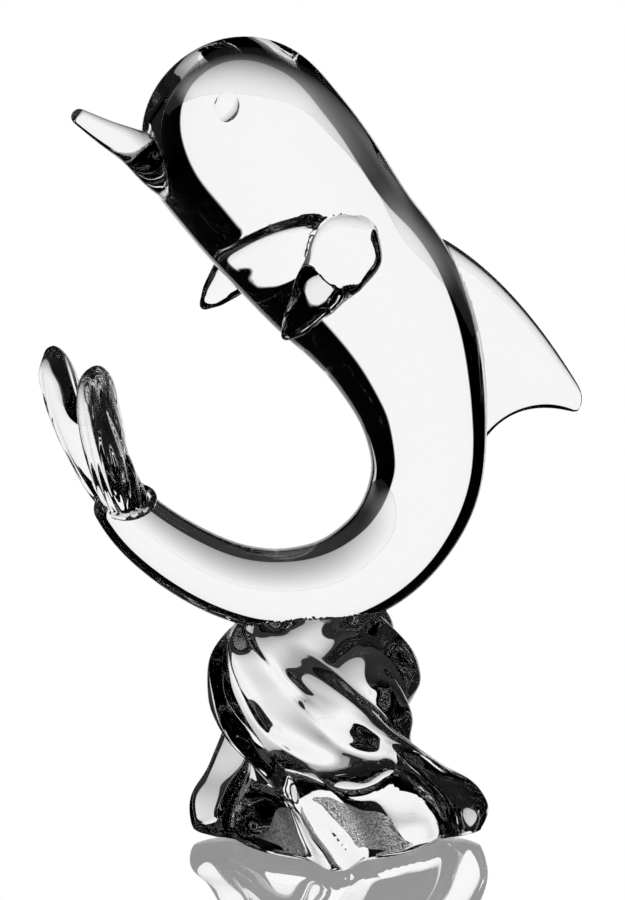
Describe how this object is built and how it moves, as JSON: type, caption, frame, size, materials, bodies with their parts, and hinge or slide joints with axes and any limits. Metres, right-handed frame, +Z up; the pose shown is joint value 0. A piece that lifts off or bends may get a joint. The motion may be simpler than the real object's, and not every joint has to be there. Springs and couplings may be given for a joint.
{
  "type": "glass dolphin figurine",
  "caption": "Solid clear glass dolphin curled in a leap, with pressed eyes, fins and flukes, fused to a twisted ridged foot with a flat underside.",
  "frame": {"origin": "middle of the foot's flat underside", "axes": "+Z up from the underside; the dolphin faces -X and its plane of symmetry is y = 0, so its dorsal fin is at +X and its left side is at -Y"},
  "size_m": [0.175, 0.086, 0.2508],
  "materials": {
    "clear_glass": "clear, fire polished, with a ground underside"
  },
  "bodies": {
    "root": {"dolphin_figurine": "clear_glass"}
  },
  "joints": []
}
